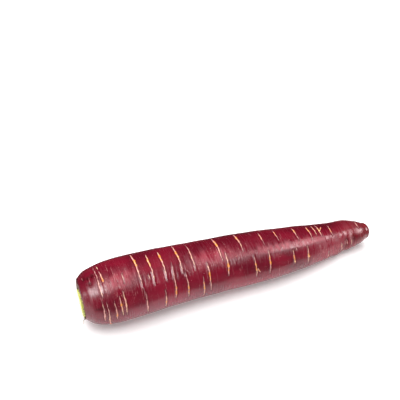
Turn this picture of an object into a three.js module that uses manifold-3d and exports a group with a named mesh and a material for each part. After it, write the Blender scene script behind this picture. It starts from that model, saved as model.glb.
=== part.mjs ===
// A purple carrot lying on a table, pulled, washed and trimmed.
// Two pieces: the taproot, from its crown to its blunt tip, and the cut bases of the leaf stalks,
// which stand in the pit of the crown. Millimetres, +Z up, the crown towards -X and the tip towards +X.
// Stations are distances from the cut face of the stalks. Angles go round the root, in degrees:
// 0 is the near side (-Y), 90 the top, 180 the far side and -90 the underside.
import * as THREE from "three";
import { mergeVertices } from "three/addons/utils/BufferGeometryUtils.js";
import Module from "manifold-3d";

const LENGTH = 186;
const FACETS = 44; // corners of each ring of the taproot

// Radius of the skin from the shoulder to the start of the tip: [station, radius].
const SKIN = [
  [3, 12.8], [6, 15], [12, 16.9], [20, 17.8], [36, 17.7], [56, 17], [76, 16.3], [96, 15.8],
  [116, 14.9], [136, 13.1], [148, 11.6], [158, 10.4], [166, 9.3], [172, 8.9], [178, 7.25], [182, 5.4],
];
const SHOULDER_END = 3;
const TIP_START = 182;

// The line through the middle of the root, a little bowed as it grew: [station, y, z].
const MIDDLE = [
  [0, -0.6, 16.3], [12, -1.7, 16.6], [25, -2.5, 17.5], [40, -2.3, 17.3], [56, -2, 16.7], [86, -2.9, 15.7],
  [116, -4.4, 14.6], [140, -3.8, 12.4], [158, -1.9, 10], [168, -0.6, 8.9], [178, -2.6, 10], [LENGTH, -3.2, 10.1],
];

// The pit of the crown and its rim, from the middle outwards: [station, radius].
const PIT = [[3.2, 4.6], [3.2, 8.3], [2.7, 8.95], [1.4, 9.1], [0.8, 9.6], [0.75, 10.2], [1.1, 11], [1.9, 12]];
const PIT_FLOOR = 3.2;
const PIT_OFF_CENTRE = { y: -1.6, z: -1.6, fades: 6 }; // the stalks grew off the middle of the crown

// Low swellings and dents of the root: [station, angle, height, spread along, spread round in degrees].
const SWELLINGS = [
  [30, 150, 0.35, 16, 60], [48, 40, -0.25, 10, 50], [66, -120, 0.3, 14, 60], [84, 70, 0.2, 8, 45],
  [103, 200, 0.35, 12, 60], [128, 60, -0.25, 7, 40], [137, 100, 0.2, 6, 50], [152, -30, 0.25, 5, 60],
  [161.5, -32, 0.95, 3.6, 50], [169, -15, 0.45, 2.5, 50], [168, 125, 0.35, 5, 45],
];

// Growth scars that show from the front: [station, from angle, to angle, depth].
const NEAR_SCARS = [
  [11.2, -15, 125, 0.3], [13.6, -45, 96, 0.3], [17.1, -15, 35, 0.3], [20.3, -10, 40, 0.25], [22.7, -10, 46, 0.35],
  [33.8, -20, 124, 0.45], [41, 36, 108, 0.4], [45.7, -24, 30, 0.3], [48.2, 38, 108, 0.4], [52.2, -4, 72, 0.35],
  [58, 42, 128, 0.45], [65.4, 44, 114, 0.35], [68.7, -26, 35, 0.3], [72.7, -10, 60, 0.4], [82.1, 50, 120, 0.45],
  [84.8, 15, 70, 0.4], [95.7, 62, 124, 0.4], [101, -2, 50, 0.35], [109.8, -2, 108, 0.4], [119.2, 70, 112, 0.35],
  [126.2, 5, 46, 0.35], [132, 60, 112, 0.35], [136.3, -10, 48, 0.35], [141.5, 56, 108, 0.35], [148.6, 58, 113, 0.4],
  [152, -42, 10, 0.3], [156.9, 54, 104, 0.3], [163, -15, 25, 0.3], [176.5, 55, 115, 0.25],
];

// Growth scars of the far side and the underside, by rule.
const FAR_SCARS = {
  first: 15, last: 172, stepLow: 8, stepHigh: 14, middleLow: 165, middleHigh: 300,
  spanLow: 40, spanHigh: 80, depthLow: 0.3, depthHigh: 0.5, seed: 7,
};

const SCAR_HALF_WIDTH = 0.8; // along the root, where a scar's groove has faded to a third
const RING_STEP = 5; // longest stretch between two rings of the smooth skin
const SCAR_LIP = 1.5; // distance from a scar to the ring beside it
const RINGS_CLOSEST = 1.0;

// Leaf stalk bases. They grew in a spiral, the oldest outermost, and one cut took them all off.
const STALKS = {
  count: 13,
  turn: 137.5, // degrees from each to the next
  outermost: 7.75, // distance of the middle of a base from the heart of the bunch
  innermost: 1.6,
  halfSpanOut: 46, // degrees that a base reaches to each side
  halfSpanIn: 82,
  thickOut: 1.4,
  thickIn: 1.0,
  corners: 9, // along each side of a base
  unevenness: 0.3, // the knife left some bases this much lower
  heartDepth: 0.45, // the tissue between the bases lies this much below the cut
  heartRadius: 7.7,
  budRadius: 0.8,
};
const STALK_SLEEVE = [[0, 0], [8, 0], [8.55, 0.9], [8.55, 5], [0, 5]]; // clear of the pit's wall
const STALK_FOOT_GAP = 0.35; // clear of the pit's floor
const CUT_TILT = { slope: 0.07, towards: 42 }; // the cut stands proudest at this angle round the root

const SKIN_COLOUR = 0x73202f;
const STALK_COLOUR = 0xcbc95c;

const wasm = await Module();
wasm.setup();

const radians = THREE.MathUtils.degToRad;
const smooth = THREE.MathUtils.smoothstep;

// A number from 0 to 1, the same at each run.
function makeDraw(seed) {
  let state = seed;
  return () => {
    state = (Math.imul(state, 1664525) + 1013904223) >>> 0;
    return state / 4294967296;
  };
}

// A smooth curve through the rows of a table whose first column is the station.
function follow(table, column, station) {
  const last = table.length - 1;
  const x = THREE.MathUtils.clamp(station, table[0][0], table[last][0]);
  let i = 0;
  while (i < last - 1 && x > table[i + 1][0]) i += 1;
  const slope = (k) => {
    const a = table[Math.max(k - 1, 0)];
    const b = table[Math.min(k + 1, last)];
    return (b[column] - a[column]) / (b[0] - a[0]);
  };
  const step = table[i + 1][0] - table[i][0];
  const t = (x - table[i][0]) / step;
  const start = (2 * t ** 3 - 3 * t ** 2 + 1) * table[i][column] + (t ** 3 - 2 * t ** 2 + t) * step * slope(i);
  const end = (3 * t ** 2 - 2 * t ** 3) * table[i + 1][column] + (t ** 3 - t ** 2) * step * slope(i + 1);
  return start + end;
}

// Radius of the skin at a station, closing in a quarter ellipse at the tip.
function skinRadius(station) {
  const closing = Math.max(station - TIP_START, 0) / (LENGTH - TIP_START);
  return follow(SKIN, 1, station) * Math.sqrt(Math.max(1 - closing ** 2, 0));
}

// Smallest turn between two angles, in degrees.
function turnBetween(a, b) {
  return Math.abs(((((a - b + 180) % 360) + 360) % 360) - 180);
}

function swelling(station, angle) {
  return SWELLINGS.reduce((sum, [at, middle, height, along, round]) => {
    const far = ((station - at) / along) ** 2 + (turnBetween(angle, middle) / round) ** 2;
    return sum + height * Math.exp(-far);
  }, 0);
}

function makeFarScars() {
  const rule = FAR_SCARS;
  const draw = makeDraw(rule.seed);
  const between = (low, high) => low + (high - low) * draw();
  const scars = [];
  for (let at = rule.first; at < rule.last; at += between(rule.stepLow, rule.stepHigh)) {
    const middle = between(rule.middleLow, rule.middleHigh);
    const half = between(rule.spanLow, rule.spanHigh) / 2;
    scars.push([at, middle - half, middle + half, between(rule.depthLow, rule.depthHigh)]);
  }
  return scars;
}

// How far the scars sink the skin: a groove across the root, pointed at both ends.
function scarDepth(scars, station, angle) {
  return scars.reduce((sum, [at, from, to, depth]) => {
    const middle = (from + to) / 2;
    const along = turnBetween(angle, middle) / ((to - from) / 2);
    if (along >= 1) return sum;
    const across = Math.exp(-(((station - at) / SCAR_HALF_WIDTH) ** 2));
    return sum + depth * across * Math.sqrt(1 - along ** 2);
  }, 0);
}

// Stations of the rings: one in each scar, one beside it, and more where the skin is smooth.
function ringStations(scars) {
  const marks = [SHOULDER_END, ...scars.map((scar) => scar[0]), TIP_START].sort((a, b) => a - b);
  const kept = marks.filter((mark, i) => i === 0 || mark - marks[i - 1] >= RINGS_CLOSEST);
  const stations = [];
  kept.forEach((mark, i) => {
    stations.push(mark);
    const gap = (kept[i + 1] ?? mark) - mark;
    if (gap <= 0) return;
    if (gap <= 2 * SCAR_LIP) {
      stations.push(mark + gap / 2);
      return;
    }
    const inner = gap - 2 * SCAR_LIP;
    const steps = Math.ceil(inner / RING_STEP);
    for (let k = 0; k <= steps; k += 1) stations.push(mark + SCAR_LIP + (inner * k) / steps);
  });
  return stations.filter((s, i) => i === 0 || s - stations[i - 1] > RINGS_CLOSEST / 4);
}

// A corner of a ring. The underside is worn flat where the root lies on the table.
function corner(station, radius, angle, offCentre) {
  const y = follow(MIDDLE, 1, station) + offCentre * PIT_OFF_CENTRE.y;
  const z = follow(MIDDLE, 2, station) + offCentre * PIT_OFF_CENTRE.z;
  const turn = radians(angle);
  return [station, y - radius * Math.cos(turn), Math.max(z + radius * Math.sin(turn), 0)];
}

// A closed body through rings of corners, with a point at each end.
function bodyOfRings(rings, startPoint, endPoint) {
  const count = rings[0].length;
  const positions = [...rings.flat(), startPoint, endPoint].flat();
  const start = rings.length * count;
  const faces = [];
  for (let k = 0; k < count; k += 1) {
    const next = (k + 1) % count;
    faces.push(start, k, next);
    for (let r = 0; r < rings.length - 1; r += 1) {
      const a = r * count;
      const b = a + count;
      faces.push(a + k, b + k, b + next, a + k, b + next, a + next);
    }
    const last = (rings.length - 1) * count;
    faces.push(start + 1, last + next, last + k);
  }
  const geometry = new THREE.BufferGeometry();
  geometry.setAttribute("position", new THREE.Float32BufferAttribute(positions, 3));
  geometry.setIndex(faces);
  return geometry;
}

function makeTaproot() {
  const scars = [...NEAR_SCARS, ...makeFarScars()];
  const angles = Array.from({ length: FACETS }, (_, k) => -90 + ((k + 0.5) * 360) / FACETS);
  const pitRings = PIT.map(([station, radius]) => {
    const offCentre = 1 - smooth(radius - PIT[3][1], 0, 12 - PIT[3][1]);
    return angles.map((angle) => corner(station, radius, angle, offCentre));
  });
  const skinRings = ringStations(scars).map((station) =>
    angles.map((angle) => {
      const relief = swelling(station, angle) - scarDepth(scars, station, angle);
      return corner(station, skinRadius(station) + relief, angle, 0);
    }),
  );
  const tipSteps = 5;
  const tipRings = Array.from({ length: tipSteps - 1 }, (_, k) => {
    const station = TIP_START + (LENGTH - TIP_START) * Math.sin((Math.PI / 2) * ((k + 1) / tipSteps));
    return angles.map((angle) => corner(station, skinRadius(station), angle, 0));
  });
  const pitMiddle = corner(PIT_FLOOR, 0, 0, 1);
  const tip = corner(LENGTH, 0, 0, 0);
  return bodyOfRings([...pitRings, ...skinRings, ...tipRings], pitMiddle, tip);
}

// A geometry as a solid that can be joined and cut.
function solidOf(geometry) {
  const bare = geometry.clone();
  bare.deleteAttribute("normal");
  bare.deleteAttribute("uv");
  const merged = mergeVertices(bare);
  const mesh = new wasm.Mesh({
    numProp: 3,
    vertProperties: merged.attributes.position.array,
    triVerts: new Uint32Array(merged.index.array),
  });
  return new wasm.Manifold(mesh);
}

function geometryOf(solid) {
  const mesh = solid.getMesh();
  const geometry = new THREE.BufferGeometry();
  geometry.setAttribute("position", new THREE.Float32BufferAttribute(mesh.vertProperties, 3));
  geometry.setIndex(Array.from(mesh.triVerts));
  geometry.computeVertexNormals();
  return geometry;
}

// The crescent that a cut leaf stalk shows, wrapped round the heart of the bunch.
function stalkOutline(out, halfSpan, thick) {
  const heart = new THREE.Vector2();
  const turns = Array.from({ length: STALKS.corners + 1 }, (_, k) => -Math.cos((Math.PI * k) / STALKS.corners));
  const edge = (side) => (turn) => {
    const radius = out + side * (thick / 2) * Math.sqrt(Math.max(1 - turn ** 2, 0));
    return new THREE.Vector2(radius, 0).rotateAround(heart, radians(halfSpan) * turn);
  };
  return new THREE.Shape([...turns.map(edge(1)), ...turns.slice(1, -1).reverse().map(edge(-1))]);
}

// The bunch of stalk bases, built along +Z from its foot to the knife's cut, then laid down.
function makeStalks() {
  const height = PIT_FLOOR - STALK_FOOT_GAP;
  const draw = makeDraw(3);
  const disc = (radius, top) => {
    const turned = new THREE.CylinderGeometry(radius, radius, top, 24).rotateX(Math.PI / 2);
    return solidOf(turned.translate(0, 0, top / 2));
  };
  let bunch = disc(STALKS.heartRadius, height - STALKS.heartDepth).add(disc(STALKS.budRadius, height));
  for (let k = 0; k < STALKS.count; k += 1) {
    const inward = k / (STALKS.count - 1);
    const outline = stalkOutline(
      THREE.MathUtils.lerp(STALKS.outermost, STALKS.innermost, inward),
      THREE.MathUtils.lerp(STALKS.halfSpanOut, STALKS.halfSpanIn, inward),
      THREE.MathUtils.lerp(STALKS.thickOut, STALKS.thickIn, inward),
    );
    const depth = height - STALKS.unevenness * draw();
    const base = new THREE.ExtrudeGeometry(outline, { depth, bevelEnabled: false });
    bunch = bunch.add(solidOf(base.rotateZ(radians(STALKS.turn * k))));
  }
  const sleeve = new THREE.LatheGeometry(
    STALK_SLEEVE.map(([radius, along]) => new THREE.Vector2(radius, along)),
    36,
  );
  const stalks = geometryOf(bunch.intersect(solidOf(sleeve.rotateX(Math.PI / 2))));
  tiltCut(stalks, height);
  return stalks.rotateY(-Math.PI / 2);
}

// Leans the cut over: lower where it is farther from the side that stands proud.
function tiltCut(geometry, height) {
  const positions = geometry.attributes.position;
  const across = radians(CUT_TILT.towards);
  for (let i = 0; i < positions.count; i += 1) {
    const up = positions.getX(i);
    const near = -positions.getY(i);
    const back = STALK_SLEEVE[2][0] - near * Math.cos(across) - up * Math.sin(across);
    positions.setZ(i, positions.getZ(i) * (1 - (CUT_TILT.slope * back) / height));
  }
  geometry.computeVertexNormals();
}

const taproot = new THREE.Mesh(
  makeTaproot(),
  new THREE.MeshStandardMaterial({ color: SKIN_COLOUR, roughness: 0.35, metalness: 0 }),
);
taproot.name = "taproot";
taproot.geometry.computeVertexNormals();

const stalks = new THREE.Mesh(
  makeStalks(),
  new THREE.MeshStandardMaterial({ color: STALK_COLOUR, roughness: 0.6, metalness: 0 }),
);
stalks.name = "leaf_stalk_bases";
const [, pitY, pitZ] = corner(PIT_FLOOR, 0, 0, 1);
stalks.position.set(PIT_FLOOR - STALK_FOOT_GAP, pitY, pitZ);

const carrot = new THREE.Group();
carrot.add(taproot, stalks);

// The origin is on the table, under the middle of the whole carrot.
const reach = new THREE.Box3().setFromObject(carrot, true);
const middle = reach.getCenter(new THREE.Vector3());
carrot.position.set(-middle.x, -middle.y, -reach.min.z);

export default carrot;
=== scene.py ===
"""A purple carrot, washed and trimmed, lying on its side on a pale floor.

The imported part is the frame. Its taproot and its leaf stalk bases are each replaced by a finer piece of
the same shape, and what grows on them is added: corky growth scars, specks, torn scales and strands.

Stations are millimetres along the root, from the cut face of the stalks to the tip. Angles go round the
root in degrees: 0 is the near side (-Y), 90 the top, 180 the far side and -90 the underside.
"""

import math

import bpy
import numpy as np
from bpy.props import FloatProperty, FloatVectorProperty, IntProperty, PointerProperty
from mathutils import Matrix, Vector


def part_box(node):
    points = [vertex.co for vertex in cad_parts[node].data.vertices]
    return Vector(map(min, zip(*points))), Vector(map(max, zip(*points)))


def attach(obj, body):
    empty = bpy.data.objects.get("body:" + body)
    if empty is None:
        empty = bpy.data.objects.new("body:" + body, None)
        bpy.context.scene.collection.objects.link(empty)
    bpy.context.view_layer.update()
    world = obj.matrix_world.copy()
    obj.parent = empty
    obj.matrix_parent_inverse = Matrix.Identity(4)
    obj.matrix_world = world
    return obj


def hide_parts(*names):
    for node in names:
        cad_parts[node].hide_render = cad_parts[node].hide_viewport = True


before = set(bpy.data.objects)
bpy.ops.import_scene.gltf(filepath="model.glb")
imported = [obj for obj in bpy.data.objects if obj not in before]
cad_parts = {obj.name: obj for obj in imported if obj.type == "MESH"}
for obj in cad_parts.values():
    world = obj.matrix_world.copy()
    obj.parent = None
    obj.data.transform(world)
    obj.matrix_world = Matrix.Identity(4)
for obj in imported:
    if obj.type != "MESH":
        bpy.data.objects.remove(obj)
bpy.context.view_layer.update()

bl_info = {
    "name": "Purple Carrot",
    "version": (1, 0, 0),
    "blender": (4, 5, 0),
    "location": "View3D > Sidebar > Carrot",
    "description": "Builds a trimmed purple carrot and its stage around the packed part",
    "category": "Add Mesh",
}

MM = 0.001

# The root's outline, as in the part's source: [station, radius] and [station, y, z of the middle].
LENGTH = 186
TIP_START = 182
SHOULDER_END = 3
SKIN = [
    [3, 12.8], [6, 15], [12, 16.9], [20, 17.8], [36, 17.7], [56, 17], [76, 16.3], [96, 15.8],
    [116, 14.9], [136, 13.1], [148, 11.6], [158, 10.4], [166, 9.3], [172, 8.9], [178, 7.25], [182, 5.4],
]
MIDDLE = [
    [0, -0.6, 16.3], [12, -1.7, 16.6], [25, -2.5, 17.5], [40, -2.3, 17.3], [56, -2, 16.7], [86, -2.9, 15.7],
    [116, -4.4, 14.6], [140, -3.8, 12.4], [158, -1.9, 10], [168, -0.6, 8.9], [178, -2.6, 10],
    [LENGTH, -3.2, 10.1],
]

# The pit of the crown, from the middle outwards: [station, radius]. Its rim is rounder than in the part's
# source, and up to 0.5 mm lower.
PIT = [
    [3.2, 4.6], [3.2, 8.3], [2.8, 8.95], [1.9, 9.1], [1.3, 9.5], [1.15, 10.2], [1.35, 11], [2, 12],
    [SHOULDER_END, SKIN[0][1]],
]
PIT_RIM_RADIUS = 9.6
PIT_FLOOR = 3.2
PIT_OFF_CENTRE = (-1.6, -1.6)
RIM_WAVES = [(0.12, 3, 40), (0.08, 11, 0)]  # height, number round the rim and start in degrees
CORK_RADIUS = 11.9  # how far from the pit's middle the crown is corky
TIP_RINGS = 10

# Low swellings and dents: [station, angle, height, spread along, spread round in degrees].
SWELLINGS = [
    [30, 150, 0.35, 16, 60], [48, 40, -0.25, 10, 50], [66, -120, 0.3, 14, 60], [84, 70, 0.2, 8, 45],
    [103, 200, 0.35, 12, 60], [128, 60, -0.25, 7, 40], [137, 100, 0.2, 6, 50], [152, -30, 0.25, 5, 60],
    [161.5, -32, 0.95, 3.6, 50], [169, -15, 0.45, 2.5, 50], [168, 125, 0.35, 5, 45],
]

# Small dents that only the fine skin shows, in the same columns: pits and a crease by the crown,
# and the fold in front of the tip.
DENTS = [
    [4.6, 94, -0.5, 0.9, 5], [6.6, 89, -0.5, 0.9, 4.5], [9.2, 90, -0.45, 1.1, 5], [7, 74, -0.45, 0.9, 5],
    [165.6, 8, -0.35, 0.7, 26], [167.2, 24, -0.5, 0.9, 13], [168.2, -14, 0.55, 1.5, 24],
    [169.5, 12, 0.6, 0.9, 26], [171.7, 14, -0.5, 1.2, 28], [164, 48, 0.3, 1.2, 10],
    [174.5, 98, -0.25, 1, 12], [168.8, 104, 0.25, 1.3, 12],
]

# Painted shade on the skin, in the same columns, with its strength for a height: in the pits and along the
# creased line by the crown, along the back, and in the fold in front of the tip. Below zero, painted light
# from
# the floor: a mauve mist low on both sides.
PAINTED_SHADE_AND_LIGHT = [
    [4.6, 94, 1.3, 0.9, 6], [6.6, 89, 1.3, 0.8, 5], [9.2, 90, 1.2, 1, 5.5], [7, 74, 1.2, 0.9, 5.5],
    [8.2, 18, 0.9, 2.2, 2.2], [10.4, 22, 0.9, 1.6, 2.2], [96, 108, 0.6, 75, 27], [155, 100, 0.6, 18, 28],
    [167.2, 24, 0.8, 0.8, 11], [171.9, 22, 0.6, 1.1, 20], [175, 24, 0.3, 3, 14], [165.6, 8, 0.3, 0.5, 26],
    [44, -14, -0.55, 50, 26], [120, -22, -0.3, 40, 24], [26, 240, -0.4, 30, 40], [110, 250, -0.4, 50, 40],
]

# Scuffed places of the skin with their dust, in the same columns, with their strength for a height. The rows
# at 44 to 68 degrees lie along the band where the overhead panels reflect: there, their pinker colour and
# pale streaks are also a painted highlight.
SCUFFS_AND_HIGHLIGHTS = [
    [22, 64, 0.9, 11, 20], [8, 44, 0.32, 7, 26], [77, 68, 0.75, 18, 21], [128, 57, 0.9, 34, 13],
    [158, 4, 1, 15, 32], [169.4, 6, 0.9, 1.1, 26], [52, 205, 0.7, 26, 40], [112, 235, 0.8, 26, 40],
    [90, 300, 0.5, 26, 30], [176, 150, 0.8, 10, 60],
]

# Growth scars that show from the front. Lean is how much farther from the crown the low end is.
# [station, high angle, low angle, angle where it is widest, half width, warmth 0 to 1, lean]
NEAR_SCARS = [
    [11.4, 122, 38, 60, 0.34, 0.4, 0], [10.7, 37, -17, 2, 0.36, 0.35, 0.2], [13.4, 116, 98, 106, 0.2, 0, 0.2],
    [13.7, 97, 66, 76, 0.5, 0.95, 0.2], [13.2, 36, -43, -16, 0.38, 0.5, 0.8],
    [17.1, 33, -14, 0, 0.42, 0.8, 0.4],
    [20.3, 38, -9, 18, 0.44, 0.85, 0.3], [22.7, 46, -9, 20, 0.48, 0.5, 0.2], [24.4, 78, 52, 66, 0.22, 0.1, 0],
    [33.5, 123, 39, 92, 0.66, 0.9, 0.3], [34.6, 31, -21, 0, 0.44, 0.25, 0], [34, 43, 18, 30, 0.15, 0.1, 0],
    [41, 107, 35, 84, 0.44, 0.85, 0], [48.2, 106, 39, 90, 0.56, 0.95, 0], [52.2, 73, -5, 16, 0.5, 0.8, -1.4],
    [45.7, 27, -25, -4, 0.44, 0.75, 0], [57.9, 124, 42, 88, 0.54, 0.9, 0], [65.4, 114, 44, 78, 0.38, 0.5, 0],
    [59.3, 50, -12, 12, 0.44, 0.8, 0], [72.7, 58, -13, 31, 0.5, 0.9, 0], [68.7, 33, -28, 5, 0.42, 0.9, 0],
    [82.1, 119, 50, 95, 0.55, 0.85, 0], [84.5, 70, 16, 38, 0.56, 1, -1.4],
    [95.7, 125, 59, 100, 0.48, 0.75, 0],
    [109.5, 110, 65, 92, 0.32, 0.55, 0], [101, 53, -4, 24, 0.45, 1, 0], [102.4, 23, 7, 16, 0.32, 0.9, 2.2],
    [119.2, 113, 69, 94, 0.36, 0.75, 0], [110, 57, -4, 30, 0.5, 0.95, -1.3],
    [132, 111, 59, 95, 0.42, 0.85, 0], [126.2, 46, 4, 22, 0.47, 0.95, 0],
    [141.5, 108, 55, 92, 0.42, 0.85, 0], [136.3, 48, -11, 18, 0.45, 0.95, 0],
    [145.7, 111, 62, 92, 0.36, 0.6, 0], [148.9, 115, 57, 84, 0.42, 1, 0], [150.7, 100, 80, 88, 0.4, 1, -3],
    [156.9, 103, 53, 76, 0.38, 0.7, 0], [152, 13, -42, -15, 0.4, 0.1, 0], [162.6, 24, -12, 6, 0.34, 0.55, 0],
    [176.5, 113, 57, 85, 0.3, 0.35, 0], [167.2, 28, 0, 14, 0.24, 0.15, 0],
    [169.8, 34, -22, 16, 0.22, -0.8, 0.4], [165.9, 30, -12, 12, 0.18, -0.4, 0],
    [163.4, 22, -30, -6, 0.15, -0.4, 0], [38.6, 62, 48, 55, 0.14, 0.1, 0.3],
    [128.4, 49, 40, 44, 0.26, 0.3, 0],
]
GROOVE_DEPTH = 0.75  # of a scar's groove, for each millimetre of its half width
GROOVE_REACH = 0.6  # along the root, where a groove or its lip has faded to a third
LIP_PLACE = 1.3  # of the low lip on each side of a groove
LIP_SHARE = 0.3  # of the groove's depth, for the lip's height
THIN_SHARE = 0.5  # of the greatest half width, for the thin line that a scar is outside its wide part
STRIP_SUNK = 0.62  # of its half width, for how deep the middle of a corky strip lies
SPECK_SUNK = 0.25  # of its radius, for a speck
NO_SCAR = 9.0  # stands for the distance where no scar is near

# Growth scars by rule: [first station, last, steps between them, middles, spans in degrees, seed].
# Those of the far side and the underside, as in the part's source.
FAR_SCARS = [15, 172, (8, 14), (165, 300), (40, 80), 7]

# Hairlines: all over, fewer low on the near side, and denser on the scuffed shoulder, on the body and before
# the tip.
HAIR_SCARS = [
    [4, 178, (1, 4), (36, 290), (9, 40), 19], [8, 178, (3, 9), (-60, 36), (9, 30), 43],
    [9, 33, (0.7, 1.5), (28, 82), (12, 44), 31], [58, 96, (0.9, 2.2), (30, 92), (10, 34), 37],
    [140, 177, (0.8, 1.7), (-28, 34), (20, 52), 41],
]

# Corky knots in the scars: [station, angle, radius, warmth].
KNOTS = [
    [126.4, 12, 0.5, 0.8], [136.7, 15, 0.5, 0.9], [84.2, 28, 0.32, 0.8], [33.4, 95, 0.42, 1],
    [14, -38, 0.6, 0.9], [48.3, 88, 0.36, 0.9], [68.5, 8, 0.45, 1], [149.3, 84, 0.45, 1],
    [72.6, 24, 0.38, 0.8],
]

# Leaf stalk bases, as in the part's source, but 0.3 mm higher over the pit and with less depth between them.
STALK_COUNT = 13
STALK_TURN = 137.5
STALK_OUT = (7.75, 1.6)
STALK_HALF_SPAN = (46, 82)
STALK_THICK = (1.4, 1.0)
STALK_UNEVENNESS = 0.3
STALK_HEIGHT = 3.15
HEART_DEPTH = 0.3
HEART_RADIUS = 7.7
SLEEVE_RADIUS = 8.55
CUT_SLOPE = 0.07
CUT_TOWARDS = 42
FOOT_GAP = 0.35  # from the pit's floor to the foot of the bases
STALK_POINTS = 27  # along a base
WORN_BELOW = (4.0, 5.8)  # how far below the crown's middle the bases start to be brown, and are brown

# Torn scales stand in a wavy ring round the foot of the bases.
TORN_SCALES = 17
SCALE_RING = (8.85, 0.12)  # radius and waves
SCALE_FOOT = 1.75  # above the pit's floor

# The dried fibre, from its root outwards: [distance from the crown's middle, height above the pit's floor,
# half width].
FIBRE = [
    [8.7, 1.4, 0.2], [8.9, 2.4, 0.18], [9.5, 3, 0.16], [10.3, 3.2, 0.13], [11, 3.6, 0.1], [11.5, 4.3, 0.05],
]
FIBRE_TURN = -52  # degrees round the crown

RIDGE_LENGTH = 14.0  # round the root
FLAKE_THICKNESS = 0.16  # of a torn scale
ROOM_IN_GLOSS = 0.2  # share of the room's light that shows in the gloss


def draws(seed):
    """Endless numbers from 0 to 1, the same at each run and the same as in the part's source."""
    state = seed
    while True:
        state = (state * 1664525 + 1013904223) % 2**32
        yield state / 2**32


def follow(table, column, stations):
    """A smooth curve through the rows of a table whose first column is the station."""
    rows = np.array(table, float)
    x, y = rows[:, 0], rows[:, column]
    last = len(x) - 1
    at = np.clip(stations, x[0], x[-1])
    i = np.clip(np.searchsorted(x, at, side="left") - 1, 0, last - 1)
    before = np.maximum(np.arange(last + 1) - 1, 0)
    after = np.minimum(np.arange(last + 1) + 1, last)
    slope = (y[after] - y[before]) / (x[after] - x[before])
    step = x[i + 1] - x[i]
    t = (at - x[i]) / step
    start = (2 * t**3 - 3 * t**2 + 1) * y[i] + (t**3 - 2 * t**2 + t) * step * slope[i]
    end = (3 * t**2 - 2 * t**3) * y[i + 1] + (t**3 - t**2) * step * slope[i + 1]
    return start + end


def smooth_step(low, high, value):
    """0 below low and 1 above high, with a smooth change between them."""
    t = np.clip((value - low) / (high - low), 0, 1)
    return t * t * (3 - 2 * t)


def turn_between(a, b):
    """Smallest turn from angle b to angle a, in degrees, signed."""
    return (a - b + 180) % 360 - 180


def skin_radius(stations):
    closing = np.clip((stations - TIP_START) / (LENGTH - TIP_START), 0, 1)
    return follow(SKIN, 1, stations) * np.sqrt(1 - closing**2)


def bumps(table, stations, angles):
    """Sum of the swellings and dents of a table."""
    total = np.zeros(np.broadcast(stations, angles).shape)
    for at, middle, height, along, around in table:
        far = ((stations - at) / along) ** 2 + (turn_between(angles, middle) / around) ** 2
        total += height * np.exp(-far)
    return total


def scars_by_rule(rule, widths, heats):
    """Scars at drawn places. Widths and heats are the ranges of their half width and warmth."""
    at, last, steps, middles, spans, seed = rule
    draw = draws(seed)

    def between(low, high):
        return low + (high - low) * next(draw)

    scars = []
    while at < last:
        middle = between(*middles)
        half = between(*spans) / 2
        width = between(*widths)
        share = (width - widths[0]) / (widths[1] - widths[0])
        heat = heats[0] + (heats[1] - heats[0]) * (7 * share % 1)
        scars.append([at, middle + half, middle - half, middle + half * (share - 0.5), width, heat, 0])
        at += between(*steps)
    return scars


def all_scars():
    """The scars with grooves, and the hairlines."""
    far = scars_by_rule(FAR_SCARS, (0.3, 0.5), (0.3, 1))
    hairs = [scar for rule in HAIR_SCARS for scar in scars_by_rule(rule, (0.07, 0.17), (0, 0.4))]
    return NEAR_SCARS + far, hairs


def scar_course(scar, angles):
    """At each angle, the station of a scar's middle line and its half width as a share of the greatest."""
    at, high, low, widest, _, _, lean = scar
    middle, half_span = (high + low) / 2, (high - low) / 2
    along = turn_between(angles, middle) / half_span
    peak = (widest - middle) / half_span
    skewed = np.where(along > peak, (along - peak) / (1 - peak), (along - peak) / (1 + peak))
    line = THIN_SHARE * np.clip(1 - np.abs(skewed) ** 5, 0, None)
    away = turn_between(angles, widest)
    bulge = (1 / THIN_SHARE - 1) * np.exp(-((away / (0.27 * half_span + 3)) ** 2))
    uneven = 0.92 + 0.17 * np.sin(0.5 * away + 9 * at) + 0.14 * np.sin(0.93 * away + 5 * at)
    wander = 0.12 * np.sin(0.14 * away + 7 * at) + 0.06 * np.sin(0.45 * away + 3 * at)
    return at - lean * along / 2 + wander, np.where(np.abs(along) < 1, line * (1 + bulge) * uneven, 0)


def grooves(scars, stations, angles):
    """How far the scars sink the skin. Each groove has a low lip on both sides."""
    total = np.zeros(np.broadcast(stations, angles).shape)
    for scar in scars:
        course, share = scar_course(scar, angles)
        across = stations - course
        groove = np.exp(-((across / GROOVE_REACH) ** 2))
        lips = LIP_SHARE * np.exp(-(((np.abs(across) - LIP_PLACE) / GROOVE_REACH) ** 2))
        total += GROOVE_DEPTH * scar[4] * (groove - lips) * np.sqrt(share)
    return total


def paint_scars(scars, stations, angles, reach, ring_gap):
    """For each point of the skin: distance across the nearest scar, half width there, and warmth."""
    shape = np.broadcast(stations, angles).shape
    nearest, second, signed = (np.full(shape, NO_SCAR) for _ in range(3))
    half, warm = np.zeros(shape), np.zeros(shape)
    for scar in scars:
        course, share = scar_course(scar, angles)
        across = stations - course
        away = np.where(share > 0, np.abs(across), NO_SCAR)
        closer = away < nearest
        second = np.where(closer, nearest, np.minimum(second, away))
        nearest = np.where(closer, away, nearest)
        signed = np.where(closer, across, signed)
        half = np.where(closer, scar[4] * share, half)
        warm = np.where(closer, scar[5] * smooth_step(0.5, 0.95, share), warm)
    alone = (nearest < reach) & (second - nearest > ring_gap)
    return np.stack([signed, np.where(alone, half, 0), warm], -1)


def place(stations, angles, radii, off_centre=0.0):
    """Points at a distance from the root's middle line, in millimetres, in the frame of the tables."""
    turn = np.radians(angles)
    y = follow(MIDDLE, 1, stations) + off_centre * PIT_OFF_CENTRE[0]
    z = follow(MIDDLE, 2, stations) + off_centre * PIT_OFF_CENTRE[1]
    flat = np.broadcast_arrays(stations, y - radii * np.cos(turn), z + radii * np.sin(turn))
    return np.stack(flat, axis=-1)


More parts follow.
